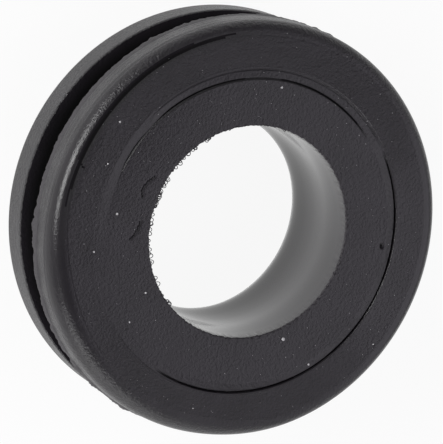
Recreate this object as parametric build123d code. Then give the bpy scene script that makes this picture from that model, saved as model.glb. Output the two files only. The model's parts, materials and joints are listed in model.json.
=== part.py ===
from build123d import *
import os

# Rubber grommet: one moulded ring that lines a round hole in a thin panel.
# Its two flanges grip the panel between them, and a cable or tube passes through the bore.
# Millimetres. The origin is on the bore's axis at the back face, and +Z points to the front face.

# ---- driving dimensions -------------------------------------------------------------------
bore_diameter = 8.0
panel_hole_diameter = 11.1        # the waist at the bottom of the groove fills this hole
panel_thickness = 1.6             # the groove is as wide as the panel is thick

front_flange_diameter = 15.75
front_flange_thickness = 1.65     # at the land, which is its thickest place
front_edge_radius = 0.6           # soft outer edge of the front face

back_flange_diameter = 15.55
back_flange_thickness = 1.25
back_edge_radius = 0.2            # the back flange's outer edge is much crisper

groove_edge_radius = 0.08         # the flange edges that face each other across the groove
groove_root_radius = 0.2          # where the flanges meet the waist

# The front face is a smooth flat land around the bore, then a fine shallow channel, then a
# grained outer band. The band lies a little lower than the land and falls towards its edge.
outer_band_width = 1.75           # from the flange's rim in to the channel
outer_band_step = 0.08            # from the land down to the band's inner edge
outer_band_fall = 0.04            # from the band's inner edge down to its outer edge
channel_width = 0.375
channel_depth = 0.1               # below the band's inner edge

# ---- radii and heights that follow --------------------------------------------------------
bore_radius = bore_diameter / 2
waist_radius = panel_hole_diameter / 2
front_radius = front_flange_diameter / 2
back_radius = back_flange_diameter / 2
channel_outer_radius = front_radius - outer_band_width
land_radius = channel_outer_radius - channel_width

groove_back = back_flange_thickness
groove_front = groove_back + panel_thickness
land_height = groove_front + front_flange_thickness
band_inner_height = land_height - outer_band_step
band_outer_height = band_inner_height - outer_band_fall
channel_floor = band_inner_height - channel_depth

# ---- corners of the section, each as (distance from the axis, height) ----------------------
bore_back = (bore_radius, 0)
back_rim_back = (back_radius, 0)
back_rim_front = (back_radius, groove_back)
root_back = (waist_radius, groove_back)
root_front = (waist_radius, groove_front)
front_rim_back = (front_radius, groove_front)
front_rim_front = (front_radius, band_outer_height)
band_inner = (channel_outer_radius, band_inner_height)
channel_outer = (channel_outer_radius, channel_floor)
channel_inner = (land_radius, channel_floor)
land_outer = (land_radius, land_height)
bore_front = (bore_radius, land_height)

outline = [
    bore_back,
    back_rim_back,
    back_rim_front,
    root_back,
    root_front,
    front_rim_back,
    front_rim_front,
    band_inner,
    channel_outer,
    channel_inner,
    land_outer,
    bore_front,
]

# Rounded corners, by radius.
roundings = [
    (front_edge_radius, [front_rim_front]),
    (back_edge_radius, [back_rim_back]),
    (groove_edge_radius, [back_rim_front, front_rim_back]),
    (groove_root_radius, [root_back, root_front]),
]


def nearest_vertex(shape, corner):
    """The vertex of a flat section that lies at a named corner."""
    return shape.vertices().sort_by_distance((corner[0], corner[1], 0))[0]


# ---- the ring: its section turned once about the bore's axis --------------------------------
section = make_face(Polyline(*outline, close=True))
for radius, corners in roundings:
    section = fillet([nearest_vertex(section, corner) for corner in corners], radius)

grommet = revolve(Plane.XZ * section, Axis.Z)
grommet.label = "grommet"

os.makedirs("parts", exist_ok=True)
export_step(grommet, "parts/grommet.step")

print(f"grommet: {grommet.volume:.2f} mm3, {land_height:.2f} mm thick")
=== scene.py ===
import json
import math

import bpy
import numpy as np
from mathutils import Matrix, Vector


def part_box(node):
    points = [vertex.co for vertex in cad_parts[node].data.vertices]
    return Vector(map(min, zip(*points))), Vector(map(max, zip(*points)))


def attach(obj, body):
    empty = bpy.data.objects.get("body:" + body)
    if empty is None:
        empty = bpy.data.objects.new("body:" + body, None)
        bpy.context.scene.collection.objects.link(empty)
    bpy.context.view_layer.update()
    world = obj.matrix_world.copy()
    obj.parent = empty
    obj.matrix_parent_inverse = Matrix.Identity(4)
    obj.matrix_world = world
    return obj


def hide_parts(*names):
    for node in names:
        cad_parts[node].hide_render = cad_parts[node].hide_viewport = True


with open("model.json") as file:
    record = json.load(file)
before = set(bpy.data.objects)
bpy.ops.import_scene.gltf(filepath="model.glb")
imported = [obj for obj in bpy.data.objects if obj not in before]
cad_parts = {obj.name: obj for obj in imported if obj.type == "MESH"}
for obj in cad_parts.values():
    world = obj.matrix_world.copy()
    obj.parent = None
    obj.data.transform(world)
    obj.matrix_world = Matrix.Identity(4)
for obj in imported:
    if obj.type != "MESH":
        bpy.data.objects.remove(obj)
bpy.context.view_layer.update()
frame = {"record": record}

# A black rubber grommet that lies on its back flange, seen from above at a slant.
# Lengths are in millimetres until they reach a mesh, a lamp or the camera.
# "turn" is an angle about the bore's axis, in degrees, clockwise as seen from the front face.
# It is 0 at the right of the picture, 90 at the bottom, 180 at the left and 270 at the top.

MM = 0.001
SEED = 7


# ---- sizes from the frame --------------------------------------------------------------------
low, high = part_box("grommet")
mounts = {mount["name"]: mount for mount in frame["record"]["mounts"]}
thickness = high.z / MM
front_radius = high.x / MM
bore_radius = mounts["bore"]["dims"]["r_mm"]
waist_radius = mounts["panel_groove"]["dims"]["r_mm"]
groove_middle = mounts["panel_groove"]["pos_m"][2] / MM
groove_half_width = mounts["panel_groove"]["dims"]["length_mm"] / 2
groove_back = groove_middle - groove_half_width
groove_front = groove_middle + groove_half_width

# Sizes of the section that the frame doesn't name.
back_radius = front_radius - 0.1
channel_outer_radius = front_radius - 1.75
land_radius = channel_outer_radius - 0.375
band_inner_height = thickness - 0.08
band_outer_height = thickness - 0.12
back_edge_radius = 0.2
root_radius = 0.2


# ---- helpers for shapes that vary around the ring ---------------------------------------------
COLUMNS = 640
turns = np.arange(COLUMNS) * 360 / COLUMNS


def near(turn, centre, reach):
    """1 at a turn, falling smoothly to 0 at reach degrees from it."""
    away = np.abs((turn - centre + 180) % 360 - 180)
    return 0.5 + 0.5 * np.cos(np.pi * np.clip(away / reach, 0, 1))


def between(turn, start, end, soft):
    """1 from one turn clockwise to another, falling smoothly to 0 over soft degrees outside them."""
    middle = (start + (end - start) % 360 / 2) % 360
    half = (end - start) % 360 / 2
    away = np.abs((turn - middle + 180) % 360 - 180)
    return 0.5 + 0.5 * np.cos(np.pi * np.clip((away - half) / soft, 0, 1))


def wander(lowest, highest, seed, turn=turns):
    """A smooth random line around the ring, about -1 to 1, of waves from lowest to highest a turn."""
    random = np.random.default_rng(SEED + seed)
    waves = np.arange(lowest, highest + 1)
    phases = random.uniform(0, 2 * np.pi, len(waves))
    angles = np.radians(turn)[..., None] * waves + phases
    return np.cos(angles).sum(-1) / math.sqrt(len(waves) / 2) / 2


# ---- the section, row by row ------------------------------------------------------------------
# Each row is a closed loop round the ring. The rows start at the bore's back edge and go up the
# bore, out over the front face, down the rim and the groove, and back under the ring.
rows = []


def row(radius, height, zone):
    rows.append((radius + 0 * turns, height + 0 * turns, zone))


def straight(start, end, steps, zone):
    """Rows from start up to, but not including, end."""
    for share in np.arange(steps) / steps:
        row(start[0] + (end[0] - start[0]) * share, start[1] + (end[1] - start[1]) * share, zone)


def rounded(centre, radius, start_angle, end_angle, steps, zone):
    """Rows along an arc of the section. 0 degrees points out and 90 points to the front."""
    for share in np.arange(steps) / steps:
        angle = math.radians(start_angle + (end_angle - start_angle) * share)
        row(centre[0] + radius * math.cos(angle), centre[1] + radius * math.sin(angle), zone)


# The front edge is rounder at the lower left of the picture than elsewhere.
edge_radius = 0.5 + 0.25 * between(turns, 110, 165, 35)
lip_radius = 0.05
band_start = channel_outer_radius + 0.08
face = thickness

straight((bore_radius, 0.03), (bore_radius, face - lip_radius), 20, "bore")
rounded((bore_radius + lip_radius, face - lip_radius), lip_radius, 180, 90, 5, "lip")
straight((bore_radius + lip_radius, face), (land_radius - 0.06, face), 30, "land")
straight((land_radius - 0.06, face), (land_radius + 0.1, face), 8, "inner line")
straight((land_radius + 0.1, face), (channel_outer_radius - 0.1, face), 4, "channel")
straight((channel_outer_radius - 0.1, face), (band_start, face), 10, "outer line")
straight((band_start, face), (front_radius - edge_radius, face), 18, "band")
rounded((front_radius - edge_radius, band_outer_height - edge_radius), edge_radius, 90, 0, 11, "edge")
straight((front_radius, band_outer_height - edge_radius), (front_radius, groove_front + 0.3), 10, "rim")
straight((front_radius, groove_front + 0.3), (front_radius, groove_front), 6, "flash")
straight((front_radius, groove_front), (waist_radius + root_radius, groove_front), 4, "groove")
rounded((waist_radius + root_radius, groove_front - root_radius), root_radius, 90, 180, 3, "groove")
rounded((waist_radius + root_radius, groove_back + root_radius), root_radius, 180, 270, 3, "groove")
straight((waist_radius + root_radius, groove_back), (back_radius - 0.05, groove_back), 4, "groove")
rounded((back_radius - 0.05, groove_back - 0.05), 0.05, 90, 0, 2, "back rim")
straight((back_radius, groove_back - 0.05), (back_radius, back_edge_radius), 6, "back rim")
rounded((back_radius - back_edge_radius, back_edge_radius), back_edge_radius, 0, -90, 4, "back rim")
straight((back_radius - back_edge_radius, 0), (bore_radius + 0.03, 0), 3, "back face")

radius = np.array([each[0] for each in rows])
height = np.array([each[1] for each in rows])
zone = np.array([each[2] for each in rows])
turn = np.broadcast_to(turns, radius.shape)


def zoned(*names):
    """1 on the rows of the named zones and 0 elsewhere, as a column."""
    return np.isin(zone, names).astype(float)[:, None]


def groove_at(place, middle, half_width):
    """1 at the middle of a V-shaped groove, and 0 past its edges."""
    return np.clip(1 - np.abs(place - middle) / half_width, 0, 1)


# The front face: the land, the channel's two lines and the outer band. Round the ring the lines
# come and go: the outer one is deep at the lower right, and the inner one shows at the top.
front_face = zoned("land", "inner line", "channel", "outer line", "band")
inner_line = between(turns, 216, 318, 14) * (1 - 0.6 * near(turns, 228, 12)) * (0.85 + 0.3 * wander(2, 9, 1))
outer_line = np.clip(between(turns, 342, 122, 8) * (0.9 + 0.35 * wander(2, 12, 2))
                     + 0.2 * between(turns, 240, 325, 14), 0, 1.3)
band_inner = face - (face - band_inner_height) * (1 - 0.9 * between(turns, 130, 205, 40))
band_outer = band_inner - (band_inner_height - band_outer_height)
inner_foot = face - 0.07 * inner_line
outer_foot = band_inner - 0.05 * outer_line
across_channel = np.clip((radius - land_radius) / (channel_outer_radius - land_radius), 0, 1)
across_band = np.clip((radius - channel_outer_radius) / (front_radius - edge_radius - channel_outer_radius), 0, 1)
across_land = np.clip((radius - bore_radius) / (land_radius - bore_radius), 0, 1)
face_height = np.where(
    radius < land_radius, face,
    np.where(radius < channel_outer_radius,
             inner_foot + (outer_foot - inner_foot) * across_channel,
             band_inner + (band_outer - band_inner) * across_band))
face_height = face_height - 0.03 * inner_line * groove_at(radius, land_radius + 0.02, 0.06)
face_height = face_height - 0.12 * outer_line * groove_at(radius, channel_outer_radius - 0.03, 0.045)
face_height = face_height + 0.012 * outer_line * groove_at(radius, channel_outer_radius + 0.05, 0.05)
# The land falls a little towards the upper left, which makes it look darker there.
face_height = face_height - 0.07 * near(turn, 222, 48) * across_land ** 2 * (1 - across_channel)
height = np.where(front_face > 0, face_height, height)

# The edge rises with the band where the band stands higher.
up_the_edge = np.clip((height - band_outer_height) / edge_radius + 1, 0, 1)
height = height + zoned("edge") * (band_outer - band_outer_height) * up_the_edge

# The bore's wall is slightly narrower inside each end and widest behind the groove, where the rubber is thin.
wave_depths = (0, 0.4, 0.9, 1.4, 2.0, 2.6, 3.2, 3.8, 4.2, 4.5)
wave_insets = (0.02, 0.04, 0.08, 0.09, 0.06, 0.05, 0.09, 0.18, 0.2, 0.05)
smooth_depths = np.linspace(0, 4.5, 91)
smooth_insets = np.interp(smooth_depths, wave_depths, wave_insets)
smooth_insets = np.convolve(np.pad(smooth_insets, 4, mode="edge"), np.ones(9) / 9, mode="valid")
radius = radius - zoned("bore") * np.interp(thickness - height, smooth_depths, smooth_insets)

# Torn rubber on the bore's front edge.
tear = 0.6 * wander(30, 90, 3) + 0.6 * wander(90, 220, 4)
radius = radius + zoned("lip") * 0.022 * tear
height = height + zoned("lip") * 0.02 * wander(50, 200, 5)

# Fine turned ridges run along the front rim, and a crease parts the front rim from its edge.
rim_top = band_outer_height - edge_radius
ridge = np.sin((height - groove_front) * 2 * np.pi / 0.27 + 0.8 * wander(3, 14, 6))
radius = radius + zoned("rim") * 0.009 * ridge * (0.6 + 0.5 * wander(4, 30, 7))
radius = radius - zoned("rim", "edge") * 0.03 * near(turn, 235, 60) * groove_at(height, rim_top, 0.07)

# At the upper left a narrow crease parts the face from its edge.
at_crease = zoned("band", "edge") * between(turn, 215, 245, 45)
height = height - 0.04 * at_crease * np.interp(radius, (7.05, 7.45, 7.58), (0, 1, 0))
# Painted shade: this mask darkens the colour along the crease.
crease_shade = at_crease * np.interp(radius, (7.2, 7.43, 7.62), (0, 1, 0))

# The front rim's flash: a ragged strip of thin rubber beside the groove, with three fat scallops
# at the left, torn bits at the upper right and a low fringe at the lower left.
scallops = 0.05 * near(turns, 162, 5.5) + 0.07 * near(turns, 172.5, 6.5) + 0.05 * near(turns, 184.5, 6.5)
ragged = np.abs(wander(25, 90, 8)) + 0.6 * np.abs(wander(90, 210, 9))
bits = 0.06 * between(turns, 296, 320, 6) * np.clip(wander(60, 140, 10), 0, 1)
fringe = 0.03 * between(turns, 118, 152, 8) * (1 + wander(20, 60, 11))
flash_width = 0.01 + 0.035 * ragged + scallops + bits + fringe
flash_share = np.clip((groove_front + 0.3 - height) / 0.3, 0, 1)
radius = radius + zoned("flash") * flash_width * np.sqrt(flash_share)
flash_drop = 0.05 * ragged + 0.5 * scallops
height = height - zoned("flash") * flash_drop * flash_share ** 2

# ---- marks in the front face: nicks, a pit and a crack, each along a few listed points ----
x_place = radius * np.cos(np.radians(turn))
y_place = -radius * np.sin(np.radians(turn))


def mark(points, half_width):
    """1 along a line through points, each a turn and a radius, and 0 beyond its half width."""
    places = [(r * math.cos(math.radians(t)), -r * math.sin(math.radians(t))) for t, r in points]
    away = np.full(radius.shape, 1e9)
    for (x0, y0), (x1, y1) in zip(places, places[1:]):
        length = (x1 - x0) ** 2 + (y1 - y0) ** 2
        share = np.clip(((x_place - x0) * (x1 - x0) + (y_place - y0) * (y1 - y0)) / length, 0, 1)
        away = np.minimum(away, np.hypot(x_place - x0 - share * (x1 - x0), y_place - y0 - share * (y1 - y0)))
    return np.clip(1 - away / half_width, 0, 1)


marks = [
    (mark([(182.5, 4.76), (184, 4.62), (187, 4.5), (191, 4.4)], 0.055), 0.03),
    (mark([(202, 4.6), (205, 4.72), (209, 4.66), (213, 4.48)], 0.055), 0.03),
    (mark([(10.6, 5.58), (11.6, 5.6)], 0.09), 0.09),
    (mark([(204.6, 7.18), (205.2, 7.3), (205.3, 7.42)], 0.04), 0.04),
]
# Painted shade: this mask darkens the colour in the nicks, the pit and the crack.
mark_shade = sum(each * front_face for each, depth in marks)
for each, depth in marks:
    height = height - front_face * depth * each


# ---- the mesh ---------------------------------------------------------------------------------
def ring_mesh(name, radius, height, attributes):
    """A closed ring from rows of radius and height, with float attributes on its points."""
    count, columns = radius.shape
    angle = np.radians(turns)
    points = np.stack([radius * np.cos(angle), -radius * np.sin(angle), height], -1) * MM
    index = np.arange(count * columns).reshape(count, columns)
    right = np.roll(index, -1, 1)
    below = np.roll(index, -1, 0)
    corner = np.roll(below, -1, 1)
    faces = np.stack([index, right, corner, below], -1).reshape(-1, 4)
    mesh = bpy.data.meshes.new(name)
    mesh.from_pydata(points.reshape(-1, 3).tolist(), [], faces.tolist())
    for key, values in attributes.items():
        layer = mesh.attributes.new(key, "FLOAT", "POINT")
        layer.data.foreach_set("value", np.broadcast_to(values, radius.shape).ravel().astype(np.float32))
    mesh.shade_smooth()
    obj = bpy.data.objects.new(name, mesh)
    bpy.context.scene.collection.objects.link(obj)
    return obj


grainy = between(turns, 240, 320, 40) + between(turns, 70, 130, 40)
attributes = {
    "grain": (zoned("band", "edge") * (0.45 + 0.4 * grainy) - 0.3 * zoned("edge") + 0.6 * zoned("rim") + zoned("back rim")
              + 0.35 * zoned("land", "channel", "inner line", "outer line")),
    "torn": np.clip(zoned("flash") * (0.4 + flash_share) + 0.7 * zoned("lip"), 0, 1),
    # Painted shade: this mask darkens the colour in the nicks, the channel's lines, the groove and the crease, and the
    # shaded copy of the rubber is used there.
    "crevice": np.clip(mark_shade + zoned("outer line") * outer_line * groove_at(radius, channel_outer_radius - 0.03, 0.045)
                       + zoned("groove") + crease_shade + 1.0 * zoned("inner line") * inner_line * groove_at(radius, land_radius + 0.02, 0.07), 0, 1),
}
body = ring_mesh("grommet_body", radius, height, attributes)
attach(body, "root")
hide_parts("grommet")


# ---- materials --------------------------------------------------------------------------------
def add_node(tree, kind, **settings):
    node = tree.nodes.new(kind)
    for key, value in settings.items():
        setattr(node, key, value)
    return node


def attribute_value(tree, name):
    return add_node(tree, "ShaderNodeAttribute", attribute_name=name).outputs["Fac"]


def math_of(tree, operation, first, second):
    """A math node on two values, each a socket or a number."""
    node = add_node(tree, "ShaderNodeMath", operation=operation)
    for socket, value in zip(node.inputs, (first, second)):
        if isinstance(value, (int, float)):
            socket.default_value = value
        else:
            tree.links.new(value, socket)
    return node.outputs[0]


def noise_at(tree, vector, scale, detail=3.0, roughness=0.5):
    node = add_node(tree, "ShaderNodeTexNoise")
    tree.links.new(vector, node.inputs["Vector"])
    node.inputs["Scale"].default_value = scale
    node.inputs["Detail"].default_value = detail
    node.inputs["Roughness"].default_value = roughness
    return node.outputs["Fac"]


def rubber(name, roughness, specular, relief_depth):
    """Black moulded rubber. The mesh's attributes say where it is grained or torn, and where shade is painted into its
    colour.
    """
    material = bpy.data.materials.new(name)
    material.use_nodes = True
    tree = material.node_tree
    links = tree.links
    shader = tree.nodes["Principled BSDF"]
    shader.inputs["Specular IOR Level"].default_value = specular
    place = add_node(tree, "ShaderNodeTexCoord").outputs["Object"]
    grain, torn = attribute_value(tree, "grain"), attribute_value(tree, "torn")
    crevice = attribute_value(tree, "crevice")

    # Colour: near black, a little purple, mottled, greyer where it is torn, and darkened further as painted shade in
    # the groove, creases, channel lines and nicks.
    ramp = add_node(tree, "ShaderNodeValToRGB")
    ramp.color_ramp.elements[0].position = 0.3
    ramp.color_ramp.elements[0].color = (0.0102, 0.0086, 0.0112, 1)
    ramp.color_ramp.elements[1].position = 0.7
    ramp.color_ramp.elements[1].color = (0.0154, 0.0132, 0.0170, 1)
    links.new(noise_at(tree, place, 700, 5, 0.6), ramp.inputs["Fac"])
    greyer = add_node(tree, "ShaderNodeMix", data_type="RGBA")
    links.new(math_of(tree, "MULTIPLY", torn, 0.5), greyer.inputs["Factor"])
    links.new(ramp.outputs["Color"], greyer.inputs["A"])
    greyer.inputs["B"].default_value = (0.038, 0.032, 0.040, 1)
    darker = add_node(tree, "ShaderNodeMix", data_type="RGBA")
    links.new(crevice, darker.inputs["Factor"])
    links.new(greyer.outputs["Result"], darker.inputs["A"])
    darker.inputs["B"].default_value = (0.004, 0.004, 0.004, 1)
    links.new(darker.outputs["Result"], shader.inputs["Base Color"])

    # Roughness: rougher in the grain, in crevices and on torn rubber, with soft smears.
    rough = math_of(tree, "ADD", roughness, math_of(tree, "MULTIPLY", grain, 0.06))
    rough = math_of(tree, "ADD", rough, math_of(tree, "MULTIPLY", torn, 0.3))
    rough = math_of(tree, "ADD", rough, math_of(tree, "MULTIPLY", crevice, 0.4))
    smear = math_of(tree, "MULTIPLY", math_of(tree, "SUBTRACT", noise_at(tree, place, 900, 4), 0.5), 0.1)
    links.new(math_of(tree, "ADD", rough, smear), shader.inputs["Roughness"])

    # Relief: leathery cells with fine pores between them, and a coarser tear on the flash.
    bend = add_node(tree, "ShaderNodeTexNoise")
    links.new(place, bend.inputs["Vector"])
    bend.inputs["Scale"].default_value = 5000
    bend.inputs["Detail"].default_value = 2
    shift = add_node(tree, "ShaderNodeVectorMath", operation="SCALE")
    links.new(bend.outputs["Color"], shift.inputs[0])
    shift.inputs["Scale"].default_value = 0.00012
    bent = add_node(tree, "ShaderNodeVectorMath", operation="ADD")
    links.new(place, bent.inputs[0])
    links.new(shift.outputs[0], bent.inputs[1])
    cells = add_node(tree, "ShaderNodeTexVoronoi", feature="SMOOTH_F1")
    links.new(bent.outputs[0], cells.inputs["Vector"])
    cells.inputs["Scale"].default_value = 10000
    leather = math_of(tree, "ADD", cells.outputs["Distance"], noise_at(tree, place, 20000, 3, 0.6))
    tears = noise_at(tree, place, 9000, 4, 0.7)
    relief = math_of(tree, "ADD", math_of(tree, "MULTIPLY", leather, grain), math_of(tree, "MULTIPLY", tears, torn))
    bump = add_node(tree, "ShaderNodeBump")
    bump.inputs["Strength"].default_value = 0.7
    bump.inputs["Distance"].default_value = relief_depth * MM
    links.new(relief, bump.inputs["Height"])
    links.new(bump.outputs["Normal"], shader.inputs["Normal"])
    return material


# Material slots: the satin face, the matte rims, the glossy bore, and a dark copy with little gloss that paints the
# shade of the groove, creases and nicks.
body.data.materials.append(rubber("satin_rubber", 0.29, 0.5, 0.06))
body.data.materials.append(rubber("matte_rubber", 0.33, 0.75, 0.075))
body.data.materials.append(rubber("glossy_rubber", 0.15, 1.0, 0.02))
body.data.materials.append(rubber("shaded_rubber", 0.6, 0.08, 0.03))
matte = ("rim", "flash", "back rim", "back face")
slot_of_row = np.select([zone == "bore", zone == "groove", np.isin(zone, matte)], [2, 3, 1], 0)
slot_of_face = np.where(attributes["crevice"] > 0.5, 3, slot_of_row[:, None])
body.data.polygons.foreach_set("material_index", slot_of_face.ravel().astype(np.int32))


# ---- small loose ends: curled shavings on the bore's edge, and dust ------------------------------
def shavings():
    """Hair-thin curls of rubber that stand off the torn edge of the bore, most of them at the left."""
    random = np.random.default_rng(SEED + 20)
    curve = bpy.data.curves.new("bore_edge_shavings", "CURVE")
    curve.dimensions = "3D"
    curve.bevel_depth = 0.014 * MM
    curve.bevel_resolution = 1
    curve.use_fill_caps = True
    curve.resolution_u = 5
    for _ in range(64):
        start = random.choice([random.uniform(140, 248), random.uniform(190, 212), random.uniform(255, 380)],
                              p=[0.7, 0.2, 0.1])
        loop = random.uniform(0.04, 0.12)
        lean = random.uniform(-0.6, 0.9)
        spline = curve.splines.new("NURBS")
        steps = 7
        spline.points.add(steps - 1)
        for i in range(steps):
            angle = math.pi * (1.15 * i / (steps - 1) - 0.08)
            along = math.degrees(loop * 0.8 * math.cos(angle) / bore_radius)
            inward = loop * max(math.sin(angle), 0) * 1.1
            t = math.radians(start + along)
            r = bore_radius + 0.03 - inward
            z = thickness - 0.02 + lean * inward * 0.5
            spline.points[i].co = (r * math.cos(t) * MM, -r * math.sin(t) * MM, z * MM, 1)
        spline.order_u = 3
        spline.use_endpoint_u = True
    curve.materials.append(body.data.materials[1])
    obj = bpy.data.objects.new("bore_edge_shavings", curve)
    bpy.context.scene.collection.objects.link(obj)
    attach(obj, "root")


def face_height_at(turn, r):
    """The height of the front face at a turn and radius, read from the finished rows."""
    column = int(round(turn / 360 * COLUMNS)) % COLUMNS
    on_face = np.where(np.isin(zone, ("land", "inner line", "channel", "outer line", "band", "edge")))[0]
    return float(np.interp(r, radius[on_face, column], height[on_face, column]))


def dust():
    """Pale specks of dust: the larger ones where they lie, and a fine scatter of the rest."""
    random = np.random.default_rng(SEED + 30)
    specks = [(65, 5.88, 0.05), (71.5, 4.45, 0.07), (109, 6.86, 0.03), (179, 6.2, 0.045), (193, 5.42, 0.05),
              (284, 5.5, 0.05), (209, 6.43, 0.04), (156, 4.56, 0.045), (149, 5.62, 0.035), (43, 7.14, 0.035),
              (222, 6.9, 0.045)]
    for _ in range(220):
        specks.append((random.uniform(0, 360), random.uniform(4.3, 7.5), random.uniform(0.006, 0.014)))
    points, faces = [], []
    for speck_turn, r, size in specks:
        centre = Vector((r * math.cos(math.radians(speck_turn)), -r * math.sin(math.radians(speck_turn)),
                         face_height_at(speck_turn, r) + 0.2 * size))
        start = len(points)
        sides = 6
        for level, share in ((-0.5, 0.7), (0.25, 1.0), (0.7, 0.6)):
            for side in range(sides):
                angle = 2 * math.pi * side / sides
                reach = size * share * random.uniform(0.7, 1.2)
                points.append((centre + Vector((reach * math.cos(angle), reach * math.sin(angle), size * level))) * MM)
        for level in range(2):
            for side in range(sides):
                a = start + level * sides + side
                b = start + level * sides + (side + 1) % sides
                faces.append((a, b, b + sides, a + sides))
        faces.append(tuple(start + 2 * sides + side for side in range(sides)))
        faces.append(tuple(start + side for side in reversed(range(sides))))
    mesh = bpy.data.meshes.new("dust_specks")
    mesh.from_pydata(points, [], faces)
    material = bpy.data.materials.new("pale_dust")
    material.use_nodes = True
    tree = material.node_tree
    shader = tree.nodes["Principled BSDF"]
    shader.inputs["Roughness"].default_value = 0.9
    ramp = add_node(tree, "ShaderNodeValToRGB")
    ramp.color_ramp.elements[0].color = (0.2, 0.19, 0.2, 1)
    ramp.color_ramp.elements[1].color = (0.75, 0.74, 0.76, 1)
    place = add_node(tree, "ShaderNodeTexCoord").outputs["Object"]
    tree.links.new(noise_at(tree, place, 2500, 2), ramp.inputs["Fac"])
    tree.links.new(ramp.outputs["Color"], shader.inputs["Base Color"])
    mesh.materials.append(material)
    obj = bpy.data.objects.new("dust_specks", mesh)
    bpy.context.scene.collection.objects.link(obj)
    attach(obj, "root")


shavings()
dust()


# ---- floor ------------------------------------------------------------------------------------
def floor_material():
    """White card. The camera sees it nearly white, with part of its shadow, and gloss shows it white."""
    material = bpy.data.materials.new("white_card")
    material.use_nodes = True
    tree = material.node_tree
    links = tree.links
    card = tree.nodes["Principled BSDF"]
    card.inputs["Base Color"].default_value = (0.9, 0.9, 0.9, 1)
    card.inputs["Roughness"].default_value = 0.9
    card.inputs["Specular IOR Level"].default_value = 0.0
    path = add_node(tree, "ShaderNodeLightPath")
    glow = add_node(tree, "ShaderNodeEmission")
    seen = math_of(tree, "MULTIPLY", path.outputs["Is Camera Ray"], 0.92)
    share = math_of(tree, "MAXIMUM", seen, path.outputs["Is Glossy Ray"])
    mix = add_node(tree, "ShaderNodeMixShader")
    links.new(share, mix.inputs["Fac"])
    links.new(card.outputs[0], mix.inputs[1])
    links.new(glow.outputs[0], mix.inputs[2])
    links.new(mix.outputs[0], tree.nodes["Material Output"].inputs["Surface"])
    return material


def add_floor():
    size = 600 * MM
    mesh = bpy.data.meshes.new("floor")
    mesh.from_pydata([(-size, -size, -0.00001), (size, -size, -0.00001),
                      (size, size, -0.00001), (-size, size, -0.00001)], [], [(0, 1, 2, 3)])
    floor = bpy.data.objects.new("floor", mesh)
    bpy.context.scene.collection.objects.link(floor)
    mesh.materials.append(floor_material())


add_floor()


# ---- camera -----------------------------------------------------------------------------------
# The bore's axis, pointing to the front, leans 28 degrees from the line of sight, and in the
# picture it points to the right and 27 degrees down.
AXIS_LEAN = math.radians(27.92)
AXIS_DROP = math.radians(26.66)
VIEW_DISTANCE = 171.6
AIM_RIGHT = 1.0
AIM_DOWN = 0.382
FOCAL_LENGTH = 377.5
SENSOR = 36


def add_camera():
    axis = Vector((math.sin(AXIS_LEAN) * math.cos(AXIS_DROP),
                   -math.sin(AXIS_LEAN) * math.sin(AXIS_DROP),
                   math.cos(AXIS_LEAN)))
    across = (Vector((1, 0, 0)) - axis * axis.x).normalized()
    world_to_camera = Matrix((across, axis.cross(across), axis)).transposed()
    camera_to_world = world_to_camera.transposed()
    face_centre = Vector((0, 0, thickness))
    offset = camera_to_world @ Vector((-AIM_RIGHT, AIM_DOWN, VIEW_DISTANCE))
    data = bpy.data.cameras.new("camera")
    data.lens = FOCAL_LENGTH
    data.sensor_fit = "VERTICAL"
    data.sensor_height = SENSOR
    data.clip_start = 0.005
    data.clip_end = 10
    camera = bpy.data.objects.new("camera", data)
    camera.matrix_world = Matrix.Translation((face_centre + offset) * MM) @ camera_to_world.to_4x4()
    bpy.context.scene.collection.objects.link(camera)
    bpy.context.scene.camera = camera


add_camera()


# ---- light ------------------------------------------------------------------------------------
def softbox(name, direction, distance, width, depth, radiance, colour=(1, 1, 1)):
    """A rectangular lamp that faces the object from a direction, given by its brightness and colour."""
    data = bpy.data.lights.new(name, "AREA")
    data.shape = "RECTANGLE"
    data.size = width * MM
    data.size_y = depth * MM
    data.energy = radiance * math.pi * width * depth * MM * MM
    data.color = colour
    lamp = bpy.data.objects.new(name, data)
    place = Vector(direction).normalized() * distance * MM
    lamp.location = place
    lamp.rotation_euler = place.to_track_quat("Z", "Y").to_euler()
    bpy.context.scene.collection.objects.link(lamp)
    return lamp


softbox("right_softbox", (0.66, -0.3, 0.68), 300, 380, 300, 1.08, (1, 0.965, 1.06))
softbox("left_softbox", (-0.85, 0.35, 0.45), 300, 260, 50, 20.0)
softbox("low_softbox", (-0.4, -0.85, 0.3), 300, 260, 110, 4.0)

world = bpy.data.worlds.new("studio")
bpy.context.scene.world = world
world.use_nodes = True
world.node_tree.nodes["Background"].inputs["Color"].default_value = (1, 1, 1, 1)
world.node_tree.nodes["Background"].inputs["Strength"].default_value = 0.15

bpy.context.scene.view_settings.view_transform = "Standard"
